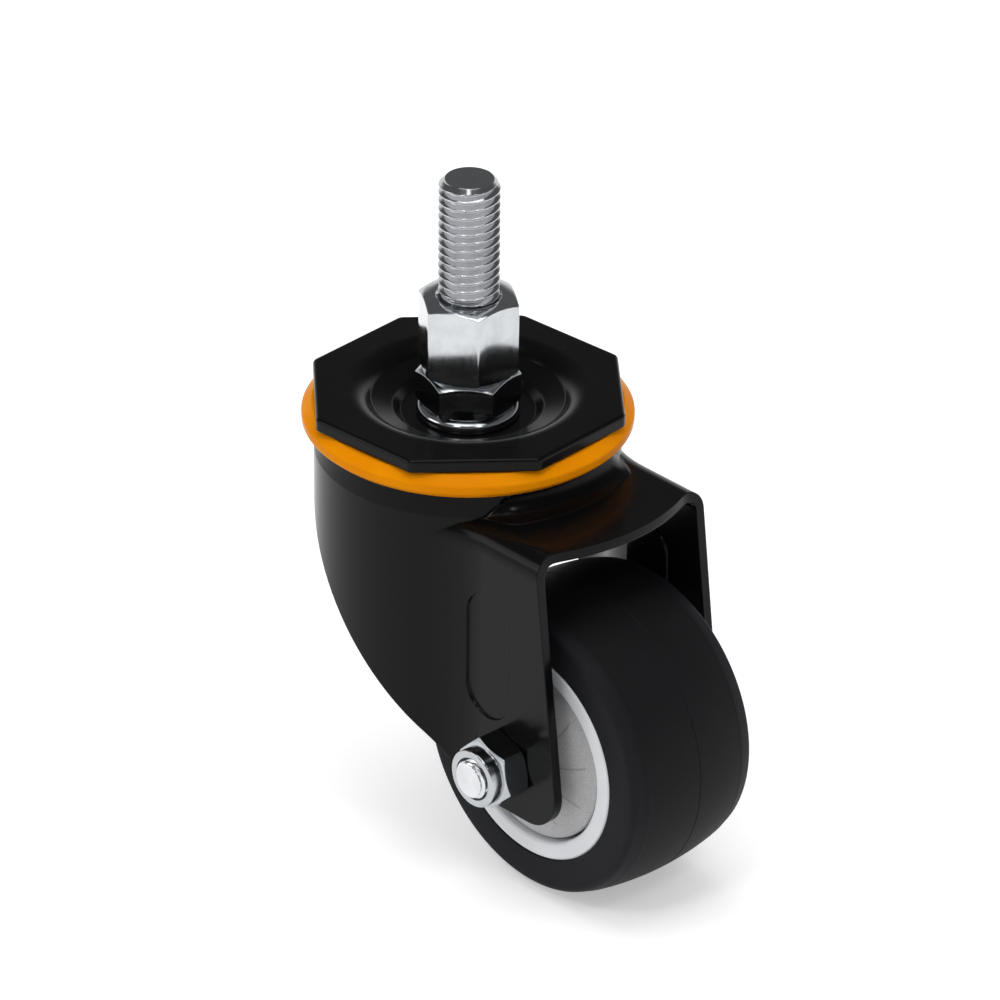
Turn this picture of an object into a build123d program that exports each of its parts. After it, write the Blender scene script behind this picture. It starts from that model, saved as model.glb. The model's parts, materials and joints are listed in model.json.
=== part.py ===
from build123d import *
import math
import os

# A threaded stem swivel caster with a double ball race and a wheel on ball bearings.
# Millimetres. Z is the swivel axis. The origin is the centre of the seat on top of the
# lock nut, where the carried frame rests. X points from the swivel axis to the wheel,
# and Y lies along the axle, with the axle nut on the -Y side.

# Threaded stem and the nuts on it
stem_diameter = 12.0
stem_length = 25.0
stem_end_chamfer = 1.2
stem_nut_width = 18.0
lock_nut_height = 16.2
lock_nut_turn = 28.1
clamp_nut_height = 7.4
clamp_nut_turn = 44.8
clamp_washer_diameter = 20.4
clamp_washer_thickness = 2.2
clamp_washer_edge = 0.5
washer_clearance = 0.3
bolt_head_height = 7.5
thread_pitch_diameter = 10.86
thread_countersink = 1.0
thread_clearance = 0.05

# Turned chamfers of every hexagon
hexagon_face_share = 0.97
hexagon_chamfer_angle = 30.0

# Octagonal top plate, pressed from sheet, that stands a little askew to the fork
plate_width = 60.0
plate_turn = 4.8
plate_corner_radius = 2.0
plate_edge_radius = 0.7
plate_sheet = 2.5
plate_bore = 12.8
dish_depth = 5.4
dish_floor_radius = 13.2
dish_step_radius = 14.8
dish_step_height = 1.8
dish_fold_radius = 0.6

# Swivel ball races
race_play = 0.05
upper_ball = 6.0
upper_ball_count = 22
upper_race_radius = 23.6
race_wrap = 55.0
lower_ball = 5.0
lower_ball_count = 17
lower_race_radius = 15.5
lower_race_gap = 3.28
lower_ring_radius = 19.0
lower_ring_thickness = 3.5
lower_ring_hub_radius = 9.4
lower_ring_edge = 0.6

# Head of the fork, deep drawn with its legs from one sheet
fork_sheet = 2.0
head_radius = 30.15
dome_top_radius = 28.6
dome_height = 6.45
dome_crest_radius = 1.2
crest_rise = 2.4
flange_drop = 1.2
flange_bore = 21.2
flange_step_outer = 20.6
flange_step_inner = 19.4
flange_step_lead = 0.7

# Legs of the fork
leg_to_wheel = 4.2
leg_blend = 25.0
bend_radius = 4.5
skirt_depth = 10.45
skirt_corner_radius = 5.4
skirt_corner_run = 5.9
front_corner_reach = 43.05
front_bow = 3.8
front_bow_half_width = 17.5
front_bow_blend = 10.0
front_lean = 7.0
trail = 35.3
axle_drop = 48.35
foot_drop = 10.4
foot_front_radius = 7.5
foot_rear_radius = 20.0
foot_rear_reach = 8.65
rear_edge_top_reach = 15.05
rear_edge_top_drop = 17.5
rear_edge_bow = 0.5
cut_spare = 5.0

# Pressed pocket in each leg
pocket_width = 10.4
pocket_height = 26.4
pocket_front_inset = 7.6
pocket_lift = 21.9
pocket_rear_depth = 0.9
pocket_front_depth = 0.45
pocket_wall_slope = 20.0

# Dust ring, sized outwards from the fork's dome
dust_ring_width = 3.6
dust_ring_lip_width = 2.0
dust_ring_shoulder_width = 1.6
dust_ring_shoulder_height = 1.6
dust_ring_sheet = 1.5
dust_ring_skirt = 1.4
dust_ring_gap = 0.4
dust_ring_edge_radius = 0.7
dust_ring_clearance = 0.4

# Wheel
wheel_diameter = 62.9
wheel_width = 32.0
tread_edge_radius = 30.3
tread_edge_reach = 12.4
tyre_wall_radius = 29.2
tyre_shoulder_radius = 1.6
rim_radius = 22.5
rim_bore_radius = 19.0
rim_root_radius = 18.2
rim_edge = 0.35
tyre_key_radius = 25.0
tyre_key_width = 9.0
tyre_key_draft = 1.0
web_thickness = 5.0
hub_radius = 14.2
hub_recess = 3.3
rib_count = 8
rib_thickness = 2.0
rib_inset = 4.0
rib_root = 0.5
moulding_gap = 0.05

# Ball bearings of the wheel, each 8 x 22 x 7
bearing_bore = 8.0
bearing_outside = 22.0
bearing_width = 7.0
bearing_inner_land = 12.2
bearing_outer_land = 19.0
bearing_ball = 3.97
bearing_ball_count = 7
bearing_pitch = 15.5
bearing_ball_play = 0.04
bearing_edge = 0.4
bearing_recess = 0.2
cage_width = 5.0
cage_thickness = 0.9
shield_thickness = 0.35
shield_inset = 0.35
shield_gap = 0.25

# Axle and what it clamps
axle_diameter = 8.0
axle_hole = 8.4
seat_radius = 8.6
axle_clearance = 0.1
axle_wrench_width = 13.0
axle_head_height = 5.3
axle_head_turn = 10.0
axle_nut_height = 8.8
axle_nut_hex_height = 6.1
axle_nut_turn = -16.0
axle_nut_collar = 11.9
axle_nut_collar_edge = 0.9
axle_nut_lip = 0.7
axle_tip = 0.9
axle_tip_chamfer = 0.8
nylon_ring_outside = 10.2
nylon_ring_thickness = 2.0
nylon_ring_inset = 0.45
spacer_outside = 11.8

# Thread guard on each side of the wheel
guard_radius = 18.3
guard_recess = 1.1
guard_edge_thickness = 1.7
guard_edge_round = 0.4
guard_cone_rise = 1.5
guard_boss_radius = 7.2
guard_boss_draft = 0.6
guard_collar_radius = 5.9
guard_wall = 1.5

# Heights on the swivel axis
clamp_nut_top = -lock_nut_height
clamp_nut_base = clamp_nut_top - clamp_nut_height
plate_seat = clamp_nut_base - clamp_washer_thickness
plate_top = plate_seat + dish_depth
plate_underside = plate_top - plate_sheet
hub_top = plate_seat - plate_sheet
upper_race_height = plate_underside - race_play - upper_ball / 2
groove_floor = upper_race_height - upper_ball / 2 - race_play
crest_height = groove_floor + crest_rise
fork_top = crest_height - dome_height
flange_top = groove_floor - flange_drop
flange_underside = flange_top - fork_sheet
lower_race_height = flange_underside - lower_race_gap / 2
lower_ring_top = flange_underside - lower_race_gap
lower_ring_base = lower_ring_top - lower_ring_thickness
bolt_head_base = lower_ring_base - bolt_head_height
skirt_edge = fork_top - skirt_depth
axle_height = fork_top - axle_drop
foot_height = axle_height - foot_drop

# Widths along the axle that follow the wheel's
leg_span = wheel_width + 2 * (leg_to_wheel + fork_sheet)
hub_width = wheel_width - 2 * hub_recess
guard_edge_reach = wheel_width / 2 - guard_recess

# Grooves that the balls run in, as radii of their sections
upper_groove = upper_ball / 2 + race_play
lower_groove = lower_ball / 2 + race_play
bearing_groove = bearing_ball / 2 + bearing_ball_play

# Places along the axle, from the middle of the wheel outwards
leg_outer = leg_span / 2
leg_inner = leg_outer - fork_sheet
bearing_outer_face = hub_width / 2 - bearing_recess
bearing_middle = bearing_outer_face - bearing_width / 2
bearing_inner_face = bearing_outer_face - bearing_width
axle_nut_hex_end = leg_outer + axle_nut_hex_height
axle_nut_end = leg_outer + axle_nut_height
axle_end = axle_nut_end + axle_tip

# Radii of the bores that the stem and the axle run in
stem_bore = stem_diameter / 2 + thread_clearance
stem_nut_bore = thread_pitch_diameter / 2 + thread_clearance
axle_bore = bearing_bore / 2 + axle_clearance
axle_nut_bore = axle_diameter / 2 + thread_clearance

# In a section through the axle, x is the radius and y the place along the axle
axle_centre = (trail, 0, axle_height)
axle_line = Axis(axle_centre, (0, 1, 0))
axle_section = Plane(origin=axle_centre, x_dir=(1, 0, 0), z_dir=(0, 0, 1))

os.makedirs("parts", exist_ok=True)


def keep(piece, name):
    """Label a finished piece and write it under its name."""
    piece.label = name
    export_step(piece, f"parts/{name}.step")


def across_axle(place, facing=1):
    """The plane that the axle crosses squarely at this place, facing +Y or -Y."""
    return Plane(origin=(trail, place, axle_height), x_dir=(1, 0, 0), z_dir=(0, facing, 0))


def turned_on_axle(points):
    """A piece turned about the axle from the corners of its section (radius, place along Y)."""
    with BuildPart() as piece:
        with BuildSketch(axle_section):
            with BuildLine():
                Polyline(*points, close=True)
            make_face()
        revolve(axis=axle_line)
    return piece.part


def hexagon_blank(width, base, top, chamfered_base=True):
    """Corners of the section that a hexagon of this width is turned down to, for its chamfers.

    Base and top are places along the axis. The section runs out past the hexagon's corners.
    """
    outside = width * 2 / 3
    flat = width / 2 * hexagon_face_share
    drop = (outside - flat) * math.tan(math.radians(hexagon_chamfer_angle))
    drop = math.copysign(drop, top - base)
    start = [(0, base), (outside, base)]
    if chamfered_base:
        start = [(0, base), (flat, base), (outside, base + drop)]
    return start + [(outside, top - drop), (flat, top), (0, top)]


def stem_hexagon(base, top, turn, bore=0):
    """A hexagon on the swivel axis, chamfered at both ends, with a countersunk bore if given."""
    with BuildPart() as hexagon:
        with BuildSketch(Plane.XY.offset(base)):
            RegularPolygon(stem_nut_width / 2, 6, major_radius=False, rotation=turn)
            if bore:
                Circle(bore, mode=Mode.SUBTRACT)
        extrude(amount=top - base)
        with BuildSketch(Plane.XZ):
            with BuildLine():
                Polyline(*hexagon_blank(stem_nut_width, base, top), close=True)
            make_face()
        revolve(axis=Axis.Z, mode=Mode.INTERSECT)
        if bore:
            mouths = hexagon.edges().filter_by(lambda edge: edge.is_closed)
            bore_mouths = mouths.group_by(SortBy.RADIUS)[0]
            chamfer(bore_mouths, thread_countersink)
    return hexagon.part


# King bolt: its head bears under the lower race, its shank is the threaded stem.
# Inside the nuts its thread meets theirs at the pitch diameter.
with BuildPart() as king_bolt:
    add(stem_hexagon(bolt_head_base, lower_ring_base, 0))
    for start, end, diameter in (
        (lower_ring_base, clamp_nut_base, stem_diameter),
        (clamp_nut_base, 0, thread_pitch_diameter),
        (0, stem_length, stem_diameter),
    ):
        with BuildSketch(Plane.XY.offset(start)):
            Circle(diameter / 2)
        extrude(amount=end - start)
    stem_tip = king_bolt.edges().group_by(Axis.Z)[-1]
    chamfer(stem_tip, stem_end_chamfer)
keep(king_bolt.part, "king_bolt")

keep(stem_hexagon(clamp_nut_top, 0, lock_nut_turn, stem_nut_bore), "lock_nut")
keep(stem_hexagon(clamp_nut_base, clamp_nut_top, clamp_nut_turn, stem_nut_bore), "clamp_nut")

with BuildPart() as clamp_washer:
    with BuildSketch(Plane.XY.offset(plate_seat)):
        Circle(clamp_washer_diameter / 2)
        Circle(stem_diameter / 2 + washer_clearance, mode=Mode.SUBTRACT)
    extrude(amount=clamp_washer_thickness)
    outer_rims = clamp_washer.edges().filter_by(GeomType.CIRCLE).sort_by(SortBy.RADIUS)[-2:]
    fillet(outer_rims, clamp_washer_edge)
keep(clamp_washer.part, "clamp_washer")

# Top plate: an octagon with a dish, whose shoulder is wrapped round the upper balls
with BuildPart() as top_plate:
    with BuildSketch(Plane.XY.offset(plate_underside)) as octagon:
        RegularPolygon(plate_width / 2, 8, major_radius=False, rotation=180 / 8 + plate_turn)
        fillet(octagon.vertices(), plate_corner_radius)
    extrude(amount=plate_sheet)
    fillet(top_plate.faces().sort_by(Axis.Z)[-1].edges(), plate_edge_radius)
    with BuildSketch(Plane.XY.offset(plate_underside)):
        Circle(upper_race_radius)
    extrude(amount=plate_sheet, mode=Mode.SUBTRACT)
    with BuildSketch(Plane.XZ) as dish_section:
        with BuildLine():
            race_centre = (upper_race_radius, upper_race_height)
            step_slope = math.atan2(dish_step_height, dish_step_radius - dish_floor_radius)
            under_shift = plate_sheet * math.tan(step_slope / 2)
            shoulder = CenterArc(race_centre, upper_groove + plate_sheet, 90, race_wrap)
            under_shoulder = CenterArc(race_centre, upper_groove, 90, race_wrap)
            Polyline(
                shoulder @ 1,
                (dish_step_radius, plate_seat + dish_step_height),
                (dish_floor_radius, plate_seat),
                (plate_bore / 2, plate_seat),
                (plate_bore / 2, hub_top),
                (dish_floor_radius + under_shift, hub_top),
                (dish_step_radius + under_shift, hub_top + dish_step_height),
                under_shoulder @ 1,
            )
            Line(shoulder @ 0, under_shoulder @ 0)
        make_face()
        step_corner = (dish_step_radius, plate_seat + dish_step_height)
        floor_corner = (dish_floor_radius, plate_seat)
        for corner in (shoulder @ 1, step_corner, floor_corner):
            fillet(dish_section.vertices().sort_by_distance(corner)[0], dish_fold_radius)
    revolve(axis=Axis.Z)
keep(top_plate.part, "top_plate")

# Lower race: a turned ring whose hub reaches up through the fork to the top plate
with BuildPart() as lower_race:
    with BuildSketch(Plane.XZ) as ring_section:
        with BuildLine():
            Polyline(
                (stem_bore, lower_ring_base),
                (lower_ring_radius, lower_ring_base),
                (lower_ring_radius, lower_ring_top),
                (lower_ring_hub_radius, lower_ring_top),
                (lower_ring_hub_radius, hub_top),
                (stem_bore, hub_top),
                close=True,
            )
        make_face()
        chamfer(ring_section.vertices().sort_by(Axis.X)[-2:], lower_ring_edge)
        with Locations((lower_race_radius, lower_race_height)):
            Circle(lower_groove, mode=Mode.SUBTRACT)
    revolve(axis=Axis.Z)
keep(lower_race.part, "lower_race")

with BuildPart() as upper_balls:
    with Locations((0, 0, upper_race_height)):
        with PolarLocations(upper_race_radius, upper_ball_count):
            Sphere(upper_ball / 2)
keep(upper_balls.part, "upper_balls")

with BuildPart() as lower_balls:
    with Locations((0, 0, lower_race_height)):
        with PolarLocations(lower_race_radius, lower_ball_count):
            Sphere(lower_ball / 2)
keep(lower_balls.part, "lower_balls")

# The cup runs past the front of the fork, and its inside past that, before both are pierced
cup_reach = 60.0
cavity_reach = 80.0


def cup_outline(head_inset, leg_inset, reach):
    """Plan of the drawn cup: a round head that blends into two straight legs, open in front."""
    with BuildSketch() as outline:
        Circle(head_radius - head_inset)
        with Locations((reach / 2, 0)):
            Rectangle(reach, leg_span - 2 * leg_inset)
        waist = outline.vertices().sort_by(Axis.X)[:-2].filter_by_position(Axis.X, 0, reach)
        fillet(waist, leg_blend + leg_inset)
    return outline.sketch


def cup_block(head_inset, leg_inset, reach, top):
    """The cup's plan as a solid from below the feet up to this height."""
    with BuildPart() as block:
        with BuildSketch(Plane.XY.offset(foot_height)):
            add(cup_outline(head_inset, leg_inset, reach))
        extrude(amount=top - foot_height)
    return block


# Everything inside the fork's sheet, taken out of the solid fork below
cavity_top = fork_top - fork_sheet
with BuildPart() as fork_cavity:
    add(cup_block(fork_sheet, fork_sheet, cavity_reach, cavity_top).part)
    roof_edges = fork_cavity.faces().sort_by(Axis.Z)[-1].edges()
    fillet(roof_edges.sort_by(Axis.X)[:-1], bend_radius - fork_sheet)
    with BuildSketch(Plane.XZ):
        with BuildLine():
            inner_wall = head_radius - fork_sheet
            Polyline(
                (0, cavity_top - bend_radius),
                (inner_wall, cavity_top - bend_radius),
                (inner_wall, fork_top - fork_sheet / 2),
                (dome_top_radius - fork_sheet, crest_height - fork_sheet),
                (upper_race_radius, crest_height - fork_sheet),
                (upper_race_radius, groove_floor - fork_sheet),
                (flange_step_outer - flange_step_lead, groove_floor - fork_sheet),
                (flange_step_inner - flange_step_lead, flange_underside),
                (flange_bore / 2, flange_underside),
                (flange_bore / 2, plate_underside),
                (0, plate_underside),
                close=True,
            )
        make_face()
        with Locations((lower_race_radius, lower_race_height)):
            Circle(lower_groove)
        with Locations((upper_race_radius, upper_race_height)):
            Circle(upper_groove + fork_sheet, mode=Mode.SUBTRACT)
    revolve(axis=Axis.Z)


def pocket_prism(start, depth):
    """The pocket's rounded outline, drafted outwards from this place on the -Y leg."""
    pocket_x = front_corner_reach - pocket_front_inset - pocket_width / 2 - trail
    with BuildPart() as prism:
        with BuildSketch(across_axle(-start, -1)):
            with Locations((pocket_x, pocket_lift)):
                SlotOverall(pocket_height, pocket_width, rotation=90)
        extrude(amount=depth, taper=-pocket_wall_slope)
    return prism.part


# The pocket follows the curve of the leg's outer face, and bulges as much on the inside
pocket_start = leg_inner - 2 * pocket_rear_depth
pocket_reach = 4 * fork_sheet
with BuildPart() as pocket_cut:
    add(pocket_prism(pocket_start + fork_sheet, pocket_reach))
    add(cup_block(pocket_rear_depth, pocket_front_depth, cup_reach, fork_top).part, mode=Mode.SUBTRACT)
with BuildPart() as pocket_bulge:
    add(pocket_prism(pocket_start, pocket_reach))
    add(cup_block(fork_sheet, fork_sheet, cup_reach, fork_top).part, mode=Mode.INTERSECT)
    bulge_inset = (fork_sheet + pocket_rear_depth, fork_sheet + pocket_front_depth)
    add(cup_block(*bulge_inset, cavity_reach, fork_top).part, mode=Mode.SUBTRACT)

# Fork: a deep-drawn cup with a domed head that holds both ball races
with BuildPart() as fork:
    add(cup_block(0, 0, cup_reach, fork_top).part)
    top_edges = fork.faces().sort_by(Axis.Z)[-1].edges()
    fillet(top_edges.sort_by(Axis.X)[:-1], bend_radius)
    with BuildSketch(Plane.XZ):
        with BuildLine():
            Polyline(
                (flange_bore / 4, skirt_edge),
                (head_radius, skirt_edge),
                (head_radius, fork_top),
                (dome_top_radius, crest_height),
                (upper_race_radius, crest_height),
                (upper_race_radius, groove_floor),
                (flange_step_outer, groove_floor),
                (flange_step_inner, flange_top),
                (flange_bore / 4, flange_top),
                close=True,
            )
        head_section = make_face()
        crest_corner = head_section.vertices().sort_by(Axis.Y)[-2:].sort_by(Axis.X)[-1]
        fillet(crest_corner, dome_crest_radius)
        with Locations((lower_race_radius, lower_race_height)):
            Circle(lower_groove + fork_sheet)
        with Locations((upper_race_radius, upper_race_height)):
            Circle(upper_groove, mode=Mode.SUBTRACT)
    revolve(axis=Axis.Z)
    add(fork_cavity.part, mode=Mode.SUBTRACT)
    add(pocket_bulge.part)
    add(pocket_bulge.part.mirror(Plane.XZ))
    add(pocket_cut.part, mode=Mode.SUBTRACT)
    add(pocket_cut.part.mirror(Plane.XZ), mode=Mode.SUBTRACT)

    # The front is pierced square to the legs, bowed between them, and leans forward
    lean = math.radians(front_lean)
    with BuildSketch(Plane.XY.offset(fork_top)) as front_waste:
        with BuildLine():
            ThreePointArc(
                (front_corner_reach, -front_bow_half_width),
                (front_corner_reach + front_bow, 0),
                (front_corner_reach, front_bow_half_width),
            )
            Polyline(
                (front_corner_reach, front_bow_half_width),
                (front_corner_reach, leg_span),
                (cavity_reach, leg_span),
                (cavity_reach, -leg_span),
                (front_corner_reach, -leg_span),
                (front_corner_reach, -front_bow_half_width),
            )
        make_face()
        bow_ends = front_waste.vertices().sort_by(Axis.X)[:4].sort_by(Axis.Y)[1:3]
        fillet(bow_ends, front_bow_blend)
    waste_length = (fork_top - foot_height + cut_spare) / math.cos(lean)
    extrude(amount=waste_length, dir=(math.sin(lean), 0, -math.cos(lean)), mode=Mode.SUBTRACT)

    # Side trim: round the foot of each leg, up the bowed rear edge and along the skirt
    with BuildSketch(Plane.XZ) as trim:
        with BuildLine():
            foot_rear = (trail - foot_rear_reach, foot_height)
            foot_front = (front_corner_reach + (fork_top - foot_height) * math.tan(lean), foot_height)
            front_at_skirt = (front_corner_reach + skirt_depth * math.tan(lean), skirt_edge)
            rear_top = (-rear_edge_top_reach, fork_top - rear_edge_top_drop)
            skirt_corner = (-rear_edge_top_reach - skirt_corner_run, skirt_edge)
            SagittaArc(foot_rear, rear_top, rear_edge_bow)
            Polyline(
                rear_top,
                skirt_corner,
                (-cup_reach, skirt_edge),
                (-cup_reach, plate_top),
                (cup_reach, plate_top),
                (cup_reach, skirt_edge),
                front_at_skirt,
                foot_front,
                foot_rear,
            )
        make_face()
        for corner, radius in (
            (foot_rear, foot_rear_radius),
            (foot_front, foot_front_radius),
            (skirt_corner, skirt_corner_radius),
        ):
            fillet(trim.vertices().sort_by_distance(corner)[0], radius)
    extrude(amount=leg_span, both=True, mode=Mode.INTERSECT)

    # Each leg has a flat seat round the axle hole
    for side in (-1, 1):
        with BuildSketch(across_axle(side * leg_outer, side)):
            Circle(seat_radius)
        extrude(amount=cut_spare, taper=-pocket_wall_slope, mode=Mode.SUBTRACT)
    with BuildSketch(across_axle(0)):
        Circle(axle_hole / 2)
    extrude(amount=leg_span, both=True, mode=Mode.SUBTRACT)
keep(fork.part, "fork")

# Dust ring, seated on the crest of the fork's head just under the top plate
ring_top = plate_underside - dust_ring_gap
ring_bore = upper_race_radius + upper_groove + dust_ring_clearance
ring_dome = dome_top_radius + dust_ring_clearance
with BuildPart() as dust_ring:
    with BuildSketch(Plane.XZ) as dust_section:
        with BuildLine():
            Polyline(
                (ring_bore, crest_height),
                (ring_dome, crest_height),
                (ring_dome, crest_height - dust_ring_skirt),
                (ring_dome + dust_ring_lip_width, crest_height - dust_ring_skirt),
                (ring_dome + dust_ring_width, crest_height),
                (ring_dome + dust_ring_width, ring_top - dust_ring_shoulder_height),
                (ring_dome + dust_ring_shoulder_width, ring_top),
                (ring_dome, ring_top),
                (ring_dome, crest_height + dust_ring_sheet),
                (ring_bore, crest_height + dust_ring_sheet),
                close=True,
            )
        make_face()
        outer_corners = dust_section.vertices().sort_by(Axis.X)[-2:]
        fillet(outer_corners, dust_ring_edge_radius)
    revolve(axis=Axis.Z)
keep(dust_ring.part, "dust_ring")


# Tyre and core share the rim's outline, a moulding gap apart
def rim_profile(gap):
    """The keyed outline of the rim, from its -Y edge to its +Y edge, this far outside it."""
    key_edge = tyre_key_width / 2 + gap
    return [
        (rim_radius + gap, -wheel_width / 2),
        (rim_radius + gap, -key_edge),
        (tyre_key_radius + gap, -key_edge + tyre_key_draft),
        (tyre_key_radius + gap, key_edge - tyre_key_draft),
        (rim_radius + gap, key_edge),
        (rim_radius + gap, wheel_width / 2),
    ]


with BuildPart() as wheel_core:
    with BuildSketch(axle_section) as core_section:
        with BuildLine():
            half_web = web_thickness / 2
            bearing_seat = bearing_outside / 2 + moulding_gap
            hub_side = [
                (rim_bore_radius, wheel_width / 2),
                (rim_root_radius, half_web),
                (hub_radius, half_web),
                (hub_radius, hub_width / 2),
                (bearing_seat, hub_width / 2),
                (bearing_seat, bearing_inner_face),
                (bearing_outer_land / 2, bearing_inner_face),
            ]
            other_side = [(r, -y) for r, y in reversed(hub_side)]
            Polyline(*rim_profile(0), *hub_side, *other_side, close=True)
        make_face()
        rim_edges = core_section.vertices().sort_by(Axis.Y)
        chamfer(rim_edges[:2] + rim_edges[-2:], rim_edge)
    revolve(axis=axle_line)
    with BuildSketch(across_axle(0)):
        with PolarLocations((rim_root_radius + hub_radius) / 2, rib_count):
            Rectangle(rim_root_radius - hub_radius + 2 * rib_root, rib_thickness)
    extrude(amount=hub_width / 2 - rib_inset, both=True)
keep(wheel_core.part, "wheel_core")

with BuildPart() as tyre:
    with BuildSketch(axle_section) as tyre_section:
        with BuildLine():
            ThreePointArc(
                (tread_edge_radius, tread_edge_reach),
                (wheel_diameter / 2, 0),
                (tread_edge_radius, -tread_edge_reach),
            )
            Polyline(
                (tread_edge_radius, -tread_edge_reach),
                (tyre_wall_radius, -wheel_width / 2),
                *rim_profile(moulding_gap),
                (tyre_wall_radius, wheel_width / 2),
                (tread_edge_radius, tread_edge_reach),
            )
        make_face()
        shoulders = tyre_section.vertices().sort_by(Axis.X)[-4:]
        fillet(shoulders, tyre_shoulder_radius)
    revolve(axis=axle_line)
keep(tyre.part, "tyre")


def bearing_ring(inner_radius, outer_radius, middle):
    """A ring of a wheel bearing, with the groove that its balls run in."""
    with BuildPart() as ring:
        with BuildSketch(axle_section) as section:
            with Locations(((inner_radius + outer_radius) / 2, middle)):
                Rectangle(outer_radius - inner_radius, bearing_width)
            chamfer(section.vertices(), bearing_edge)
            with Locations((bearing_pitch / 2, middle)):
                Circle(bearing_groove, mode=Mode.SUBTRACT)
        revolve(axis=axle_line)
    return ring.part


# Each side of the wheel has a ball bearing, with its balls, cage and shields, and a guard
for side, side_name in ((-1, "nut_side"), (1, "head_side")):
    middle = side * bearing_middle
    keep(bearing_ring(axle_bore, bearing_inner_land / 2, middle), f"{side_name}_inner_ring")
    outer_ring = bearing_ring(bearing_outer_land / 2, bearing_outside / 2, middle)
    keep(outer_ring, f"{side_name}_outer_ring")

    with BuildPart(across_axle(middle)) as bearing_balls:
        with PolarLocations(bearing_pitch / 2, bearing_ball_count):
            Sphere(bearing_ball / 2)
    keep(bearing_balls.part, f"{side_name}_bearing_balls")

    with BuildPart(across_axle(middle)) as ball_cage:
        with BuildSketch(across_axle(middle)):
            Circle(bearing_pitch / 2 + cage_thickness / 2)
            Circle(bearing_pitch / 2 - cage_thickness / 2, mode=Mode.SUBTRACT)
        extrude(amount=cage_width / 2, both=True)
        with PolarLocations(bearing_pitch / 2, bearing_ball_count):
            Cylinder(bearing_groove, bearing_ball, rotation=(0, 90, 0), mode=Mode.SUBTRACT)
    keep(ball_cage.part, f"{side_name}_ball_cage")

    with BuildPart() as shields:
        with BuildSketch(axle_section):
            for face in (-1, 1):
                shield_edge = bearing_width / 2 - shield_inset - shield_thickness / 2
                shield_inner = bearing_inner_land / 2 + shield_gap
                shield_outer = bearing_outer_land / 2
                with Locations(((shield_inner + shield_outer) / 2, middle + face * shield_edge)):
                    Rectangle(shield_outer - shield_inner, shield_thickness)
        revolve(axis=axle_line)
    keep(shields.part, f"{side_name}_bearing_shields")

    # The guard is clamped between the leg and the bearing's inner ring, and does not turn
    guard_outline = [
        (axle_bore, bearing_outer_face),
        (guard_collar_radius, bearing_outer_face),
        (guard_collar_radius + guard_boss_draft, guard_edge_reach + guard_cone_rise - guard_wall),
        (guard_radius - guard_wall, guard_edge_reach - guard_wall),
        (guard_radius - guard_wall, guard_edge_reach - guard_edge_thickness),
        (guard_radius, guard_edge_reach - guard_edge_thickness),
        (guard_radius, guard_edge_reach - guard_edge_round),
        (guard_radius - guard_edge_round, guard_edge_reach),
        (guard_boss_radius, guard_edge_reach + guard_cone_rise),
        (guard_boss_radius - guard_boss_draft, leg_inner),
        (axle_bore, leg_inner),
    ]
    keep(turned_on_axle([(r, side * y) for r, y in guard_outline]), f"{side_name}_thread_guard")

spacer_outline = [
    (axle_bore, -bearing_inner_face),
    (spacer_outside / 2, -bearing_inner_face),
    (spacer_outside / 2, bearing_inner_face),
    (axle_bore, bearing_inner_face),
]
keep(turned_on_axle(spacer_outline), "bearing_spacer")

# Axle bolt, with its head on the +Y side
with BuildPart() as axle_bolt:
    with BuildSketch(across_axle(leg_outer)):
        RegularPolygon(axle_wrench_width / 2, 6, major_radius=False, rotation=axle_head_turn)
    extrude(amount=axle_head_height)
    head_end = leg_outer + axle_head_height
    add(
        turned_on_axle(hexagon_blank(axle_wrench_width, leg_outer, head_end, False)),
        mode=Mode.INTERSECT,
    )
    shank_outline = [
        (0, -axle_end),
        (axle_diameter / 2 - axle_tip_chamfer, -axle_end),
        (axle_diameter / 2, -axle_end + axle_tip_chamfer),
        (axle_diameter / 2, leg_outer),
        (0, leg_outer),
    ]
    add(turned_on_axle(shank_outline))
keep(axle_bolt.part, "axle_bolt")

# Lock nut of the axle: a hexagon with a round collar, whose lip holds a nylon ring
ring_end = axle_nut_end - nylon_ring_inset
ring_start = ring_end - nylon_ring_thickness
ring_seat = nylon_ring_outside / 2
with BuildPart() as axle_nut:
    with BuildSketch(across_axle(-leg_outer, -1)):
        RegularPolygon(axle_wrench_width / 2, 6, major_radius=False, rotation=axle_nut_turn)
    extrude(amount=axle_nut_hex_height)
    add(
        turned_on_axle(hexagon_blank(axle_wrench_width, -leg_outer, -axle_nut_hex_end)),
        mode=Mode.INTERSECT,
    )
    collar_outline = [
        (0, -axle_nut_hex_end),
        (axle_nut_collar / 2, -axle_nut_hex_end),
        (axle_nut_collar / 2, -axle_nut_end + axle_nut_collar_edge),
        (axle_nut_collar / 2 - axle_nut_collar_edge, -axle_nut_end),
        (0, -axle_nut_end),
    ]
    add(turned_on_axle(collar_outline))
    bore_outline = [
        (0, 0),
        (axle_nut_bore, 0),
        (axle_nut_bore, -ring_start),
        (ring_seat, -ring_start),
        (ring_seat, -ring_end),
        (axle_nut_bore + axle_nut_lip, -ring_end),
        (axle_nut_bore + axle_nut_lip, -axle_end),
        (0, -axle_end),
    ]
    add(turned_on_axle(bore_outline), mode=Mode.SUBTRACT)
keep(axle_nut.part, "axle_nut")

nylon_outline = [
    (axle_nut_bore, -ring_start),
    (ring_seat - moulding_gap, -ring_start),
    (ring_seat - moulding_gap, -ring_end),
    (axle_nut_bore, -ring_end),
]
keep(turned_on_axle(nylon_outline), "nylon_ring")
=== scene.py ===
"""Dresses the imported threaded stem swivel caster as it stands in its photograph.

Sizes are millimetres until a mesh is made, and metres in Blender. The frame is the CAD's: Z is
the swivel axis, the origin is the seat on top of the lock nut, X points to the wheel and Y lies
along the axle.
"""

from __future__ import annotations

import json
import logging
import math
from dataclasses import dataclass
from enum import Enum
from functools import reduce

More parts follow.
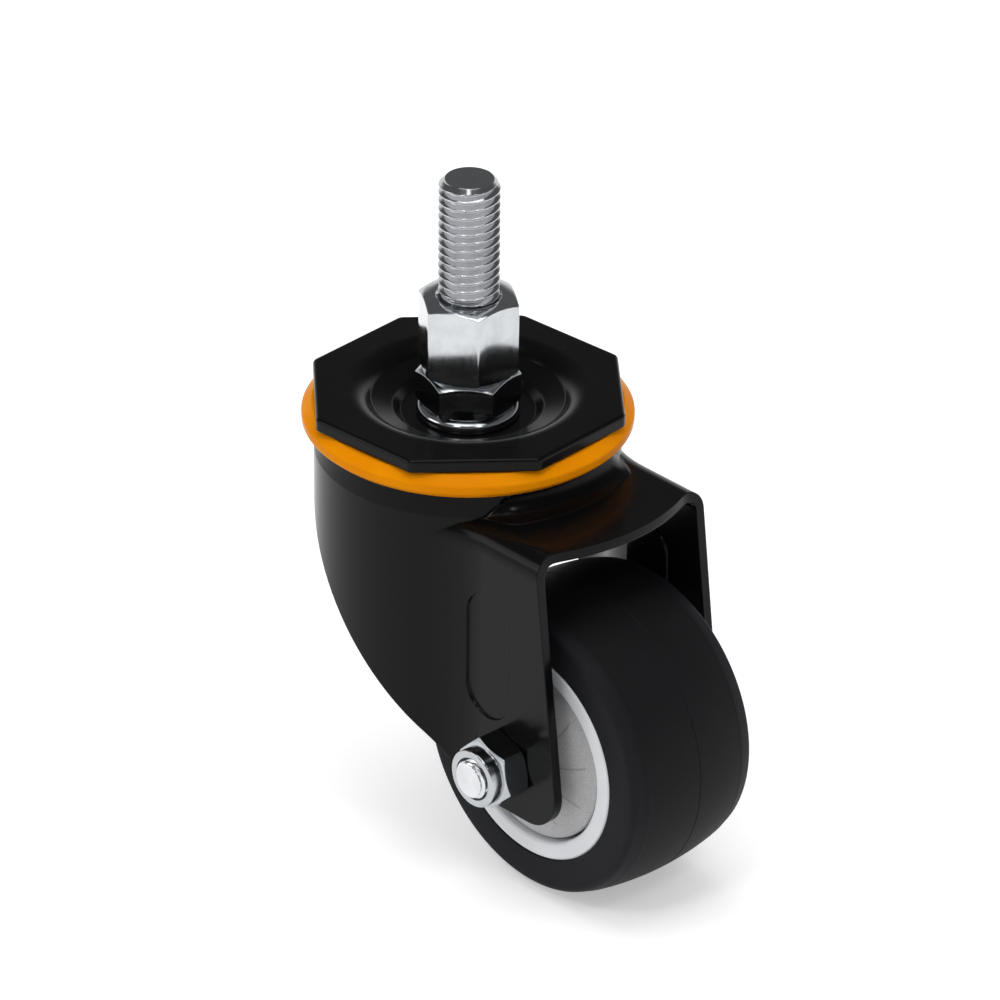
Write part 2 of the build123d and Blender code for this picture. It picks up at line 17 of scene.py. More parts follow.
import bmesh
import bpy
import numpy as np
from mathutils import Matrix, Vector

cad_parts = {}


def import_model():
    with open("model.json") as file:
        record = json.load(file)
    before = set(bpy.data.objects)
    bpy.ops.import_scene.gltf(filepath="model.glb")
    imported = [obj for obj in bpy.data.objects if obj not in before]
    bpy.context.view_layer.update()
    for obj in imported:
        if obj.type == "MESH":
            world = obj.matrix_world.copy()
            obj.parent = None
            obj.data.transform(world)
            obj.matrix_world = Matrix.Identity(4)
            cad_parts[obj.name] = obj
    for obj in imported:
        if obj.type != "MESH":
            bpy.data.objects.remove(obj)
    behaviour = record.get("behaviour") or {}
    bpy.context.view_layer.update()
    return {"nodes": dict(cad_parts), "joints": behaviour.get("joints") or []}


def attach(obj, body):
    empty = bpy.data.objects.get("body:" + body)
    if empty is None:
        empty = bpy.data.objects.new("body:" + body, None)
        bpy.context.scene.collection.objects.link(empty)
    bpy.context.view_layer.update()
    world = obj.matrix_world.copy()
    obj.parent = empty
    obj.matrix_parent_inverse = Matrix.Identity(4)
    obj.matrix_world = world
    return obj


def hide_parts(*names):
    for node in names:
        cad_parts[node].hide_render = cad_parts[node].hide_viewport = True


LOG = logging.getLogger("caster")
MM = 0.001
Triple = tuple[float, float, float]
Pair = tuple[float, float]


# Shader expressions


class Value:
    """A number, vector or colour that varies over a surface, with Python's number operators."""

    def __init__(self, sheet: Nodes, socket: bpy.types.NodeSocket) -> None:
        """Wrap a node's output socket.

        Args:
            sheet: the tree that new nodes are added to.
            socket: the output that holds the value.
        """
        self.sheet = sheet
        self.socket = socket

    def _maths(self, operation: str, *terms: Value | float) -> Value:
        """Add one Math node.

        Args:
            operation: the Math node's operation.
            terms: the values or numbers that it works on, in order.

        Returns:
            The node's result.
        """
        return self.sheet.node("ShaderNodeMath", {"operation": operation}, dict(enumerate(terms)))

    def __add__(self, other: Value | float) -> Value:
        """This plus the other."""
        return self._maths("ADD", self, other)

    def __radd__(self, other: Value | float) -> Value:
        """The other plus this."""
        return self._maths("ADD", other, self)

    def __sub__(self, other: Value | float) -> Value:
        """This less the other."""
        return self._maths("SUBTRACT", self, other)

    def __rsub__(self, other: Value | float) -> Value:
        """The other less this."""
        return self._maths("SUBTRACT", other, self)

    def __mul__(self, other: Value | float) -> Value:
        """This times the other."""
        return self._maths("MULTIPLY", self, other)

    def __rmul__(self, other: Value | float) -> Value:
        """The other times this."""
        return self._maths("MULTIPLY", other, self)

    def __pow__(self, other: Value | float) -> Value:
        """This to the power of the other."""
        return self._maths("POWER", self, other)

    def larger(self, other: Value | float) -> Value:
        """The larger of this and the other."""
        return self._maths("MAXIMUM", self, other)

    def size(self) -> Value:
        """This without its sign."""
        return self._maths("ABSOLUTE", self)

    def sine(self) -> Value:
        """The sine of this, in radians."""
        return self._maths("SINE", self)

    def fraction(self) -> Value:
        """What this has past its whole number."""
        return self._maths("FRACT", self)

    def rise(self, low: float, high: float) -> Value:
        """Go smoothly from 0 to 1 as this goes from one value to another.

        Args:
            low: where the result is 0.
            high: where the result is 1; it may be the smaller of the two.

        Returns:
            The smooth step, held at 0 and 1 outside the range.
        """
        settings = {"interpolation_type": "SMOOTHSTEP"}
        if low < high:
            return self.sheet.node("ShaderNodeMapRange", settings, {0: self, 1: low, 2: high})
        return 1.0 - self.sheet.node("ShaderNodeMapRange", settings, {0: self, 1: high, 2: low})

    def part(self, name: str) -> Value:
        """Another output of the node that made this value."""
        return Value(self.sheet, self.socket.node.outputs[name])


class Nodes:
    """A node tree that values are worked out in."""

    def __init__(self, tree: bpy.types.NodeTree) -> None:
        """Take over a material's or the world's tree."""
        self.tree = tree

    def put(self, socket: bpy.types.NodeSocket, value: Value | float | tuple) -> None:
        """Link a value to an input socket, or set the socket to a constant.

        Args:
            socket: the input.
            value: a Value, a number, or a tuple for a colour or vector.
        """
        if isinstance(value, Value):
            self.tree.links.new(value.socket, socket)
        else:
            socket.default_value = value

    def node(self, kind: str, settings: dict | None = None, sockets: dict | None = None) -> Value:
        """Add any node.

        Args:
            kind: the node's type.
            settings: properties that are set before its sockets are.
            sockets: values or links by the input's name or number.

        Returns:
            The node's first output that is switched on.
        """
        made = self.tree.nodes.new(kind)
        for name, setting in (settings or {}).items():
            setattr(made, name, setting)
        for key, value in (sockets or {}).items():
            self.put(made.inputs[key], value)
        return Value(self, next(socket for socket in made.outputs if socket.enabled))


class Sheet(Nodes):
    """The nodes of one material, built around a Principled shader."""

    def __init__(self, name: str) -> None:
        """Start a material with its shader and output.

        Args:
            name: the material's name.
        """
        self.material = bpy.data.materials.new(name)
        self.material.use_nodes = True
        super().__init__(self.material.node_tree)
        self.tree.nodes.clear()
        self.shader = self.tree.nodes.new("ShaderNodeBsdfPrincipled")
        self.output = self.tree.nodes.new("ShaderNodeOutputMaterial")
        self.tree.links.new(self.shader.outputs[0], self.output.inputs["Surface"])
        self.place = self.node("ShaderNodeTexCoord").part("Object")

    def blend(self, low: Value | tuple, high: Value | tuple, share: Value | float) -> Value:
        """Mix two colours.

        Args:
            low: the colour at share 0.
            high: the colour at share 1.
            share: how much of the second colour there is.

        Returns:
            The mixed colour.
        """
        return self.node("ShaderNodeMix", {"data_type": "RGBA"}, {0: share, 6: low, 7: high})

    def stretched(self, scale: Triple) -> Value:
        """Object coordinates in metres, multiplied by these three numbers."""
        settings = {"operation": "MULTIPLY"}
        return self.node("ShaderNodeVectorMath", settings, {0: self.place, 1: scale})

    def coordinate(self, axis: str) -> Value:
        """One object coordinate, X, Y or Z, in millimetres."""
        return self.node("ShaderNodeSeparateXYZ", None, {0: self.place}).part(axis) * 1000.0

    def noise(self, grain: float, detail: float = 2.0, where: Value | None = None) -> Value:
        """Soft noise between 0 and 1.

        Args:
            grain: the size of its largest features in millimetres.
            detail: how many finer layers are added.
            where: the coordinates that it is drawn on, or else the object's.

        Returns:
            The noise.
        """
        sockets = {"Vector": where or self.place, "Scale": 1000.0 / grain, "Detail": detail}
        return self.node("ShaderNodeTexNoise", {"noise_dimensions": "3D"}, sockets)

    def bumped(self, height: Value, depth: float, edge: float = 0.0) -> None:
        """Raise the surface's normal by a height map over softened edges.

        Args:
            height: the height, from 0 to 1.
            depth: the height of 1 in millimetres.
            edge: the radius in millimetres that sharp edges look rounded by.
        """
        sockets = {"Height": height, "Distance": depth * MM, "Strength": 1.0}
        if edge:
            sockets["Normal"] = self.node("ShaderNodeBevel", {"samples": 6}, {"Radius": edge * MM})
        self.put(self.shader.inputs["Normal"], self.node("ShaderNodeBump", None, sockets))

    def dress(self, **values: Value | float | tuple) -> bpy.types.Material:
        """Set the shader's sockets, whose spaces are written as underscores.

        Args:
            values: a Value, number or colour for each socket.

        Returns:
            The finished material.
        """
        for name, value in values.items():
            self.put(self.shader.inputs[name.replace("_", " ")], value)
        return self.material


def tone(colour: Triple, share: float = 1.0) -> tuple[float, float, float, float]:
    """A linear colour at a share of its brightness, with full alpha."""
    return (*(part * share for part in colour), 1.0)


# Finishes


@dataclass(frozen=True)
class Enamel:
    """Black stoved enamel on pressed sheet: glossy, with a faint orange peel."""

    name: str = "gloss_black_enamel"
    deep: Triple = (0.0026, 0.0026, 0.0028)
    light: Triple = (0.0038, 0.0037, 0.0037)
    roughness: float = 0.16
    cloud: float = 14.0
    peel: float = 2.2
    peel_depth: float = 0.006
    edge: float = 0.40

    def make(self) -> bpy.types.Material:
        """Paint it nearly black, with slow changes of gloss and softened edges.

        Returns:
            The material.
        """
        sheet = Sheet(self.name)
        slow = sheet.noise(self.cloud)
        sheet.bumped(sheet.noise(self.peel, 1.0), self.peel_depth, self.edge)
        return sheet.dress(
            Base_Color=sheet.blend(tone(self.deep), tone(self.light), slow),
            Roughness=self.roughness + slow * 0.06,
            Specular_IOR_Level=0.12,
        )


@dataclass(frozen=True)
class Zinc:
    """Bright zinc plate on turned or forged steel, with fine marks along or round an axis."""

    name: str
    colour: Triple
    roughness: float = 0.12
    marks: Triple = (1.0, 1.0, 0.08)
    mark_depth: float = 0.0012
    edge: float = 0.24
    mark_width: float = 0.45
    cloud_size: float = 3.2
    dullest: float = 0.90

    def make(self) -> bpy.types.Material:
        """Cloud the plate a little and scratch it finely in one direction.

        Returns:
            The material.
        """
        sheet = Sheet(self.name)
        cloud = sheet.noise(self.cloud_size, 3.0)
        marks = sheet.noise(self.mark_width, 3.0, sheet.stretched(self.marks))
        sheet.bumped(marks + cloud * 0.5, self.mark_depth, self.edge)
        dull, bright = tone(self.colour, self.dullest), tone(self.colour)
        return sheet.dress(
            Base_Color=sheet.blend(dull, bright, cloud.rise(0.30, 0.65)),
            Roughness=self.roughness + marks * 0.08 - cloud * 0.06,
            Metallic=1.0,
        )


@dataclass(frozen=True)
class TurnedSteel:
    """Oiled bearing steel with rings left by the lathe."""

    name: str = "turned_race_steel"
    colour: Triple = (0.42, 0.42, 0.43)
    dullest: float = 0.80
    roughness: float = 0.24
    ring_pitch: float = 0.35
    ring_depth: float = 0.003

    def make(self) -> bpy.types.Material:
        """Rings round the swivel axis, by the sine of the distance from it.

        Returns:
            The material.
        """
        sheet = Sheet(self.name)
        across = sheet.coordinate("X")
        along = sheet.coordinate("Y")
        radius = (across * across + along * along) ** 0.5
        rings = (radius * (2 * math.pi / self.ring_pitch)).sine() * 0.5 + 0.5
        cloud = sheet.noise(2.4, 3.0)
        sheet.bumped(rings * 0.6 + cloud * 0.4, self.ring_depth)
        return sheet.dress(
            Base_Color=sheet.blend(tone(self.colour, self.dullest), tone(self.colour), cloud),
            Roughness=self.roughness + cloud * 0.10,
            Metallic=1.0,
        )


@dataclass(frozen=True)
class MouldedPlastic:
    """Smooth or grained moulded plastic, with slow flow marks in its gloss."""

    name: str
    colour: Triple
    shade: Triple
    roughness: float
    gloss: float
    grain: float = 0.5
    grain_depth: float = 0.004
    edge: float = 0.15
    flow: float = 11.0

    def make(self) -> bpy.types.Material:
        """Let the colour drift slowly between its two tones and press in the grain.

        Returns:
            The material.
        """
        sheet = Sheet(self.name)
        slow = sheet.noise(self.flow, 1.0)
        grain = sheet.noise(self.grain, 2.0)
        sheet.bumped(grain, self.grain_depth, self.edge)
        return sheet.dress(
            Base_Color=sheet.blend(tone(self.shade), tone(self.colour), slow.rise(0.25, 0.7)),
            Roughness=self.roughness + grain * 0.08,
            Specular_IOR_Level=self.gloss,
        )


@dataclass(frozen=True)
class GuardPlastic:
    """Grey plastic with a spark-eroded grain and a fan of faint petals, with painted shade in the
    creases between them.
    """

    name: str = "grained_grey_plastic"
    colour: Triple = (0.53, 0.53, 0.54)
    darkest: float = 0.84
    lightest: float = 1.10
    crease_painted_shade: float = 0.62
    petals: int = 10
    first_crease: float = -0.13
    sweep: float = 0.020
    petal_depth: float = 0.16
    fan_inside: Pair = (7.4, 9.0)
    fan_outside: Pair = (16.2, 15.0)
    crease: Pair = (0.455, 0.495)
    grain: float = 0.26

    def make(self, axle: Spindle) -> bpy.types.Material:
        """A petal rises with the angle, less a share of the radius, and drops at its crease, where
        the colour is darkened as painted shade.

        Args:
            axle: the line that the petals are set round.

        Returns:
            The material.
        """
        sheet = Sheet(self.name)
        across = sheet.coordinate("X") - axle.centre[0]
        rise = sheet.coordinate("Z") - axle.centre[2]
        radius = (across * across + rise * rise) ** 0.5
        settings = {"operation": "ARCTAN2"}
        angle = sheet.node("ShaderNodeMath", settings, {0: rise, 1: across})
        turned_by = angle - radius * self.sweep - self.first_crease
        petal = (turned_by * (self.petals / (2 * math.pi))).fraction()
        fan = radius.rise(*self.fan_inside) * radius.rise(*self.fan_outside)
        crease = (petal - 0.5).size().rise(*self.crease) * fan
        grain = sheet.noise(self.grain, 2.0)
        sheet.bumped(petal * fan + grain * 0.05 - crease * 0.30, self.petal_depth, 0.15)
        darker, lighter = tone(self.colour, self.darkest), tone(self.colour, self.lightest)
        colour = sheet.blend(darker, lighter, grain.rise(0.30, 0.70))
        return sheet.dress(
            # The darker colour along each crease is painted shade.
            Base_Color=sheet.blend(colour, tone(self.colour, self.crease_painted_shade), crease * 0.7),
            Roughness=0.52 + grain * 0.14,
            Specular_IOR_Level=0.30,
        )


@dataclass(frozen=True)
class Rubber:
    """Matte black tyre rubber with a fine moulded skin and a little paler dust on its tread."""

    name: str = "matte_black_rubber"
    tread: Triple = (0.0066, 0.0066, 0.0075)
    dusty_tread: Triple = (0.0094, 0.0094, 0.0110)
    wall: Triple = (0.0092, 0.0092, 0.0114)
    dusty_wall: Triple = (0.0120, 0.0120, 0.0150)
    wall_start: Pair = (12.5, 14.0)
    skin: float = 0.30
    skin_depth: float = 0.010
    edge: float = 0.25
    dust: float = 7.0

    def make(self) -> bpy.types.Material:
        """The side walls are a shade paler than the tread, and dust clouds both.

        Returns:
            The material.
        """
        sheet = Sheet(self.name)
        skin = sheet.noise(self.skin, 3.0)
        cloud = sheet.noise(self.dust, 3.0)
        side = sheet.coordinate("Y").size().rise(*self.wall_start)
        sheet.bumped(skin * 0.7 + cloud * 0.3, self.skin_depth, self.edge)
        tread = sheet.blend(tone(self.tread), tone(self.dusty_tread), cloud)
        wall = sheet.blend(tone(self.wall), tone(self.dusty_wall), cloud)
        return sheet.dress(
            Base_Color=sheet.blend(tread, wall, side),
            Roughness=0.50 + skin * 0.14,
            Specular_IOR_Level=0.10,
        )


# Surfaces


@dataclass(frozen=True)
class Spindle:
    """A line that round pieces are turned about."""

    centre: Triple
    along: Triple

    def points(self, across: np.ndarray, side: np.ndarray, place: np.ndarray) -> np.ndarray:
        """Carry flat positions to their place round the line.

        The point is the centre + across times X + side times (along x X) + place times along.

        Args:
            across: distances along the X axis from the line.
            side: distances along the third direction from the line.
            place: distances along the line.

        Returns:
            An array of points whose last axis is X, Y and Z.
        """
        along = np.array(self.along)
        out = np.array([1.0, 0.0, 0.0])
        third = np.cross(along, out)
        across, side, place = np.broadcast_arrays(across, side, place)
        spread = across[..., None] * out + side[..., None] * third + place[..., None] * along
        return np.array(self.centre) + spread


def rounded(corners: list[tuple[float, float]], radii: list[float], steps: int = 6) -> np.ndarray:
    """Round the corners of a closed outline by tangent arcs.

    An arc of radius r starts r / tan(half the corner's angle) before the corner and ends as far
    after it, and its points turn evenly from one end to the other round the arc's centre.

    Args:
        corners: the outline's corners in order.
        radii: the radius at each corner, 0 for a sharp one.
        steps: the points on each arc.

    Returns:
        The outline's points, steps for each corner.
    """
    corner = np.array(corners, float)
    radius = np.array(radii, float)[:, None]
    before = np.roll(corner, 1, axis=0) - corner
    after = np.roll(corner, -1, axis=0) - corner
    before /= np.linalg.norm(before, axis=1, keepdims=True)
    after /= np.linalg.norm(after, axis=1, keepdims=True)
    half = np.arccos(np.clip((before * after).sum(1), -1, 1))[:, None] / 2
    inward = (before + after) / np.linalg.norm(before + after, axis=1, keepdims=True)
    centre = corner + inward * radius / np.sin(half)
    first = corner + before * radius / np.tan(half) - centre
    last = corner + after * radius / np.tan(half) - centre
    turned = (math.pi - 2 * half)[:, None]
    share = np.linspace(0, 1, steps)[None, :, None]
    start_weight = np.sin((1 - share) * turned) / np.sin(turned)
    end_weight = np.sin(share * turned) / np.sin(turned)
    arcs = centre[:, None] + start_weight * first[:, None] + end_weight * last[:, None]
    return arcs.reshape(-1, 2)


def refined(outline: np.ndarray, parts: int) -> np.ndarray:
    """Divide each side of a closed outline into equal parts by straight interpolation.

    Args:
        outline: the outline's points in order.
        parts: the number of parts that each side gets.

    Returns:
        The points, parts for each side.
    """
    share = np.arange(parts)[None, :, None] / parts
    following = np.roll(outline, -1, axis=0)
    return (outline[:, None] * (1 - share) + following[:, None] * share).reshape(-1, 2)


@dataclass(frozen=True)
class Patch:
    """A grid of points that is joined by quads."""

    points: np.ndarray
    ring_rows: bool = False
    ring_columns: bool = True

    def quads(self) -> np.ndarray:
        """Join each point to the next in its row and column.

        Where rows or columns go round, the last is joined to the first.

        Returns:
            The corner numbers of each quad.
        """
        rows, columns = self.points.shape[:2]
        row = np.arange(rows if self.ring_rows else rows - 1)[:, None]
        column = np.arange(columns if self.ring_columns else columns - 1)[None, :]
        below = (row + 1) % rows
        beside = (column + 1) % columns
        ring = [row * columns + column, row * columns + beside]
        ring += [below * columns + beside, below * columns + column]
        return np.stack(np.broadcast_arrays(*ring), axis=-1).reshape(-1, 4)


def turned(spindle: Spindle, profile: np.ndarray, columns: int = 144, ring: bool = True) -> Patch:
    """Turn a profile about a line: the point (r, p) goes to r (cos a, sin a) at place p.

    Args:
        spindle: the line.
        profile: rows of radius and place.
        columns: the number of angles.
        ring: whether the profile is closed.

    Returns:
        The surface, with one row for each point of the profile.
    """
    angle = np.arange(columns)[None, :] * (2 * math.pi / columns)
    radius, place = profile[:, :1], profile[:, 1:]
    return Patch(spindle.points(radius * np.cos(angle), radius * np.sin(angle), place), ring)


def piece(
    name: str, patches: list[Patch], finish: bpy.types.Material, sharp: float = 32.0
) -> bpy.types.Object:
    """Make one object from its patches, with their shared edges merged and faces outward.

    Args:
        name: the object's name.
        patches: the surfaces that together close the piece, in millimetres.
        finish: the material.
        sharp: the angle in degrees past which an edge stays crisp.

    Returns:
        The object, at the origin, with its place in its mesh.
    """
    points = [patch.points.reshape(-1, 3) for patch in patches]
    firsts = np.cumsum([0] + [len(group) for group in points])
    quads = [patch.quads() + first for patch, first in zip(patches, firsts)]
    mesh = bpy.data.meshes.new(name)
    mesh.from_pydata((np.concatenate(points) * MM).tolist(), [], np.concatenate(quads).tolist())
    edit = bmesh.new()
    edit.from_mesh(mesh)
    bmesh.ops.remove_doubles(edit, verts=edit.verts, dist=2e-7)
    bmesh.ops.dissolve_degenerate(edit, edges=edit.edges, dist=1e-8)
    bmesh.ops.recalc_face_normals(edit, faces=edit.faces)
    edit.to_mesh(mesh)
    edit.free()
    mesh.polygons.foreach_set("use_smooth", np.ones(len(mesh.polygons), bool))
    mesh.set_sharp_from_angle(angle=math.radians(sharp))
    made = bpy.data.objects.new(name, mesh)
    bpy.context.scene.collection.objects.link(made)
    mesh.materials.append(finish)
    return made


def settle(made: bpy.types.Object, body: str, slot: str, *nodes: str) -> bpy.types.Object:
    """Let a piece ride on its body and stand for its CAD nodes.

    Args:
        made: the new piece.
        body: the CAD body that it moves with.
        slot: the record's material slot; not used.
        nodes: the CAD nodes that it stands for.

    Returns:
        The piece.
    """
    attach(made, body)
    if nodes:
        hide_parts(*nodes)
    LOG.info("%s: %d faces, rides on %s", made.name, len(made.data.polygons), body)
    return made


def dress(nodes: dict[str, bpy.types.Object], finish: bpy.types.Material, *names: str) -> None:
    """Give CAD nodes their finish.

    Args:
        nodes: the CAD nodes by name.
        finish: the material.
        names: the nodes that get it.
    """
    for name in names:
        mesh = nodes[name].data
        mesh.materials.clear()
        mesh.materials.append(finish)
        LOG.info("%s: dressed in %s", name, finish.name)


@dataclass(frozen=True)
class Hexagon:
    """The outside of a hexagon, turned to a chamfer at one or both ends."""

    width: float
    corner: float
    base: float
    top: float
    corner_radius: float = 0.35
    face_share: float = 0.95
    chamfer_slope: float = math.tan(math.radians(30))
    parts: int = 6

    def outline(self) -> np.ndarray:
        """Six rounded corners, every 60 degrees from the corner angle, with divided flats.

        Returns:
            The outline's points.
        """
        angle = np.radians(self.corner + 60 * np.arange(6))
        reach = self.width / math.sqrt(3)
        corners = np.stack([np.cos(angle), np.sin(angle)], axis=1) * reach
        return refined(rounded(corners.tolist(), [self.corner_radius] * 6, 5), self.parts)

    def rows(
        self,
        spindle: Spindle,
        before: list[tuple[float, float]],
        after: list[tuple[float, float]],
        chamfered_base: bool = True,
        ring: bool = True,
    ) -> Patch:
        """Rows of points up the outside, between round rows of radius and place.

        Where the outline's radius is R, a chamfer ends (R - flat radius) times its slope from
        the end face, so that it curves up each flat as a turned chamfer does.

        Args:
            spindle: the line that the hexagon is centred on.
            before: round rows below the base, from the inside out.
            after: round rows beyond the top, from the outside in.
            chamfered_base: whether the base is chamfered as the top is.
            ring: whether the last row joins the first.

        Returns:
            The surface.
        """
        outline = self.outline()
        radius = np.linalg.norm(outline, axis=1)
        facing = outline / radius[:, None]
        flat = self.width / 2 * self.face_share
        drop = (radius - flat) * self.chamfer_slope * math.copysign(1, self.top - self.base)
        base_drop = drop if chamfered_base else drop * 0
        base_flat = flat if chamfered_base else radius
        rows = [(np.full_like(radius, r), np.full_like(radius, p)) for r, p in before]
        rows.append((radius * 0 + base_flat, radius * 0 + self.base))
        rows.append((radius, self.base + base_drop))
        rows.append((radius, self.top - drop))
        rows.append((radius * 0 + flat, radius * 0 + self.top))
        rows += [(np.full_like(radius, r), np.full_like(radius, p)) for r, p in after]
        reach = np.array([row for row, _ in rows])
        place = np.array([row for _, row in rows])
        points = spindle.points(reach * facing[:, 0], reach * facing[:, 1], place)
        return Patch(points, ring)


@dataclass(frozen=True)
class Thread:
    """A 60 degree screw thread that ends in a chamfered tip."""

    diameter: float
    pitch: float
    start: float
    end: float
    blank_radius: float
    tip_chamfer: float
    depth_share: float = 0.613
    crest_flat: float = 1 / 8
    flank: float = 3 / 4
    rows_per_turn: int = 16
    columns: int = 96

    def surface(self, spindle: Spindle) -> Patch:
        """The thread's surface from its start to the edge of its flat tip.

        The rows rise by one pitch round the line. At phase v of a pitch the radius falls from
        the crest by the depth times a trapezoid wave of v, it is held under the tip's 45 degree
        cone, and rows past either end are drawn together on that end's own circle.

        Args:
            spindle: the line of the thread.

        Returns:
            The surface, whose last column meets its first one turn further on.
        """
        direction = math.copysign(1, self.end - self.start)
        length = abs(self.end - self.start)
        turns = math.ceil(length / self.pitch) + 1
        phase = np.arange(-self.rows_per_turn, turns * self.rows_per_turn + 1) / self.rows_per_turn
        share = np.arange(self.columns + 1)[None, :] / self.columns
        rise = np.clip((phase[:, None] + share) * self.pitch, 0, length)
        wave = np.abs(2 * (phase - np.floor(phase)) - 1)[:, None]
        crest = self.diameter / 2
        root = crest - self.depth_share * self.pitch
        radius = root + (crest - root) * np.clip((wave - self.crest_flat) / self.flank, 0, 1)
        radius = np.minimum(radius, crest - self.tip_chamfer + (length - rise))
        radius = np.where(rise <= 0, self.blank_radius, radius)
        radius = np.where(rise >= length, crest - self.tip_chamfer, radius)
        angle = share * 2 * math.pi
        across, side = radius * np.cos(angle), radius * np.sin(angle) * direction
        return Patch(spindle.points(across, side, self.start + direction * rise), False, False)

    def tip(self, spindle: Spindle) -> Patch:
        """The flat end, from its edge to its centre.

        Args:
            spindle: the line of the thread.

        Returns:
            The surface.
        """
        edge = self.diameter / 2 - self.tip_chamfer
        profile = np.array([(edge, self.end), (edge / 2, self.end), (0, self.end)])
        return turned(spindle, profile, self.columns, False)


# Sub-assemblies


@dataclass(frozen=True)
class StemSet:
    """The king bolt, whose shank is the threaded stem, and its lock nut, clamp nut and washer."""

    stem: float = 12.0
    pitch: float = 1.75
    length: float = 25.0
    tip_chamfer: float = 1.2
    pitch_radius: float = 5.43
    nut_width: float = 18.0
    lock_nut_corner: float = 28.1
    clamp_nut_corner: float = 44.8
    clamp_nut_top: float = -16.2
    clamp_nut_base: float = -23.6
    washer_base: float = -25.8
    washer_radius: float = 10.2
    washer_bore: float = 6.3
    head_top: float = -38.98
    head_base: float = -46.48
    bore: float = 5.48
    mouth: float = 6.48
    washer_bore_edge: float = 0.2
    washer_lower_edge: float = 0.5
    washer_upper_edge: float = 1.0

    def king_bolt(self, line: Spindle, finish: bpy.types.Material) -> bpy.types.Object:
        """The bolt: a hexagon head, a plain shank and a rolled thread up to the tip.

        Args:
            line: the swivel axis.
            finish: its material.

        Returns:
            The piece.
        """
        shank = self.stem / 2
        head = Hexagon(self.nut_width, 0.0, self.head_base, self.head_top)
        under_head = [(0.0, self.head_base)]
        over_head = [(shank, self.head_top), (0.0, self.head_top)]
        thread = Thread(
            self.stem, self.pitch, 0.0, self.length, self.pitch_radius, self.tip_chamfer
        )
        blank = [
            (0.0, self.head_top),
            (shank, self.head_top),
            (shank, self.clamp_nut_base),
            (self.pitch_radius, self.clamp_nut_base),
            (self.pitch_radius, 0.0),
        ]
        patches = [
            head.rows(line, under_head, over_head, ring=False),
            turned(line, np.array(blank), thread.columns, False),
            thread.surface(line),
            thread.tip(line),
        ]
        return piece("threaded_stem", patches, finish)

    def nut(
        self, name: str, line: Spindle, hexagon: Hexagon, finish: bpy.types.Material
    ) -> bpy.types.Object:
        """A hexagon nut with a countersunk bore.

        Args:
            name: the piece's name.
            line: the swivel axis.
            hexagon: its outside.
            finish: its material.

        Returns:
            The piece.
        """
        sink = self.mouth - self.bore
        below = [(self.bore, hexagon.base + sink), (self.mouth, hexagon.base)]
        above = [(self.mouth, hexagon.top), (self.bore, hexagon.top - sink)]
        return piece(name, [hexagon.rows(line, below, above)], finish)

    def washer(self, line: Spindle, finish: bpy.types.Material) -> bpy.types.Object:
        """The turned washer under the clamp nut, rounded at its rim.

        Args:
            line: the swivel axis.
            finish: its material.

        Returns:
            The piece.
        """
        corners = [
            (self.washer_bore, self.washer_base),
            (self.washer_radius, self.washer_base),
            (self.washer_radius, self.clamp_nut_base),
            (self.washer_bore, self.clamp_nut_base),
        ]
        inside, below, above = self.washer_bore_edge, self.washer_lower_edge, self.washer_upper_edge
        profile = rounded(corners, [inside, below, above, inside])
        return piece("turned_washer", [turned(line, profile)], finish)

    def build(self, line: Spindle) -> None:
        """Build the set and let it stand for its CAD nodes.

        Args:
            line: the swivel axis.
        """
        thread = Zinc("bright_zinc_thread", (0.52, 0.53, 0.55)).make()
        nuts = Zinc("zinc_nuts", (0.57, 0.59, 0.61), 0.10, edge=0.32).make()
        turned_face = Zinc("turned_zinc_washer", (0.55, 0.57, 0.59), marks=(1.0, 1.0, 1.0)).make()
        middle, base = self.clamp_nut_top, self.clamp_nut_base
        lock = Hexagon(self.nut_width, self.lock_nut_corner, middle, 0.0)
        clamp = Hexagon(self.nut_width, self.clamp_nut_corner, base, middle)
        settle(self.king_bolt(line, thread), "stem_side", "zinc", "king_bolt")
        settle(self.nut("stem_lock_nut", line, lock, nuts), "stem_side", "zinc", "lock_nut")
        settle(self.nut("race_clamp_nut", line, clamp, nuts), "stem_side", "zinc", "clamp_nut")
        settle(self.washer(line, turned_face), "stem_side", "zinc", "clamp_washer")


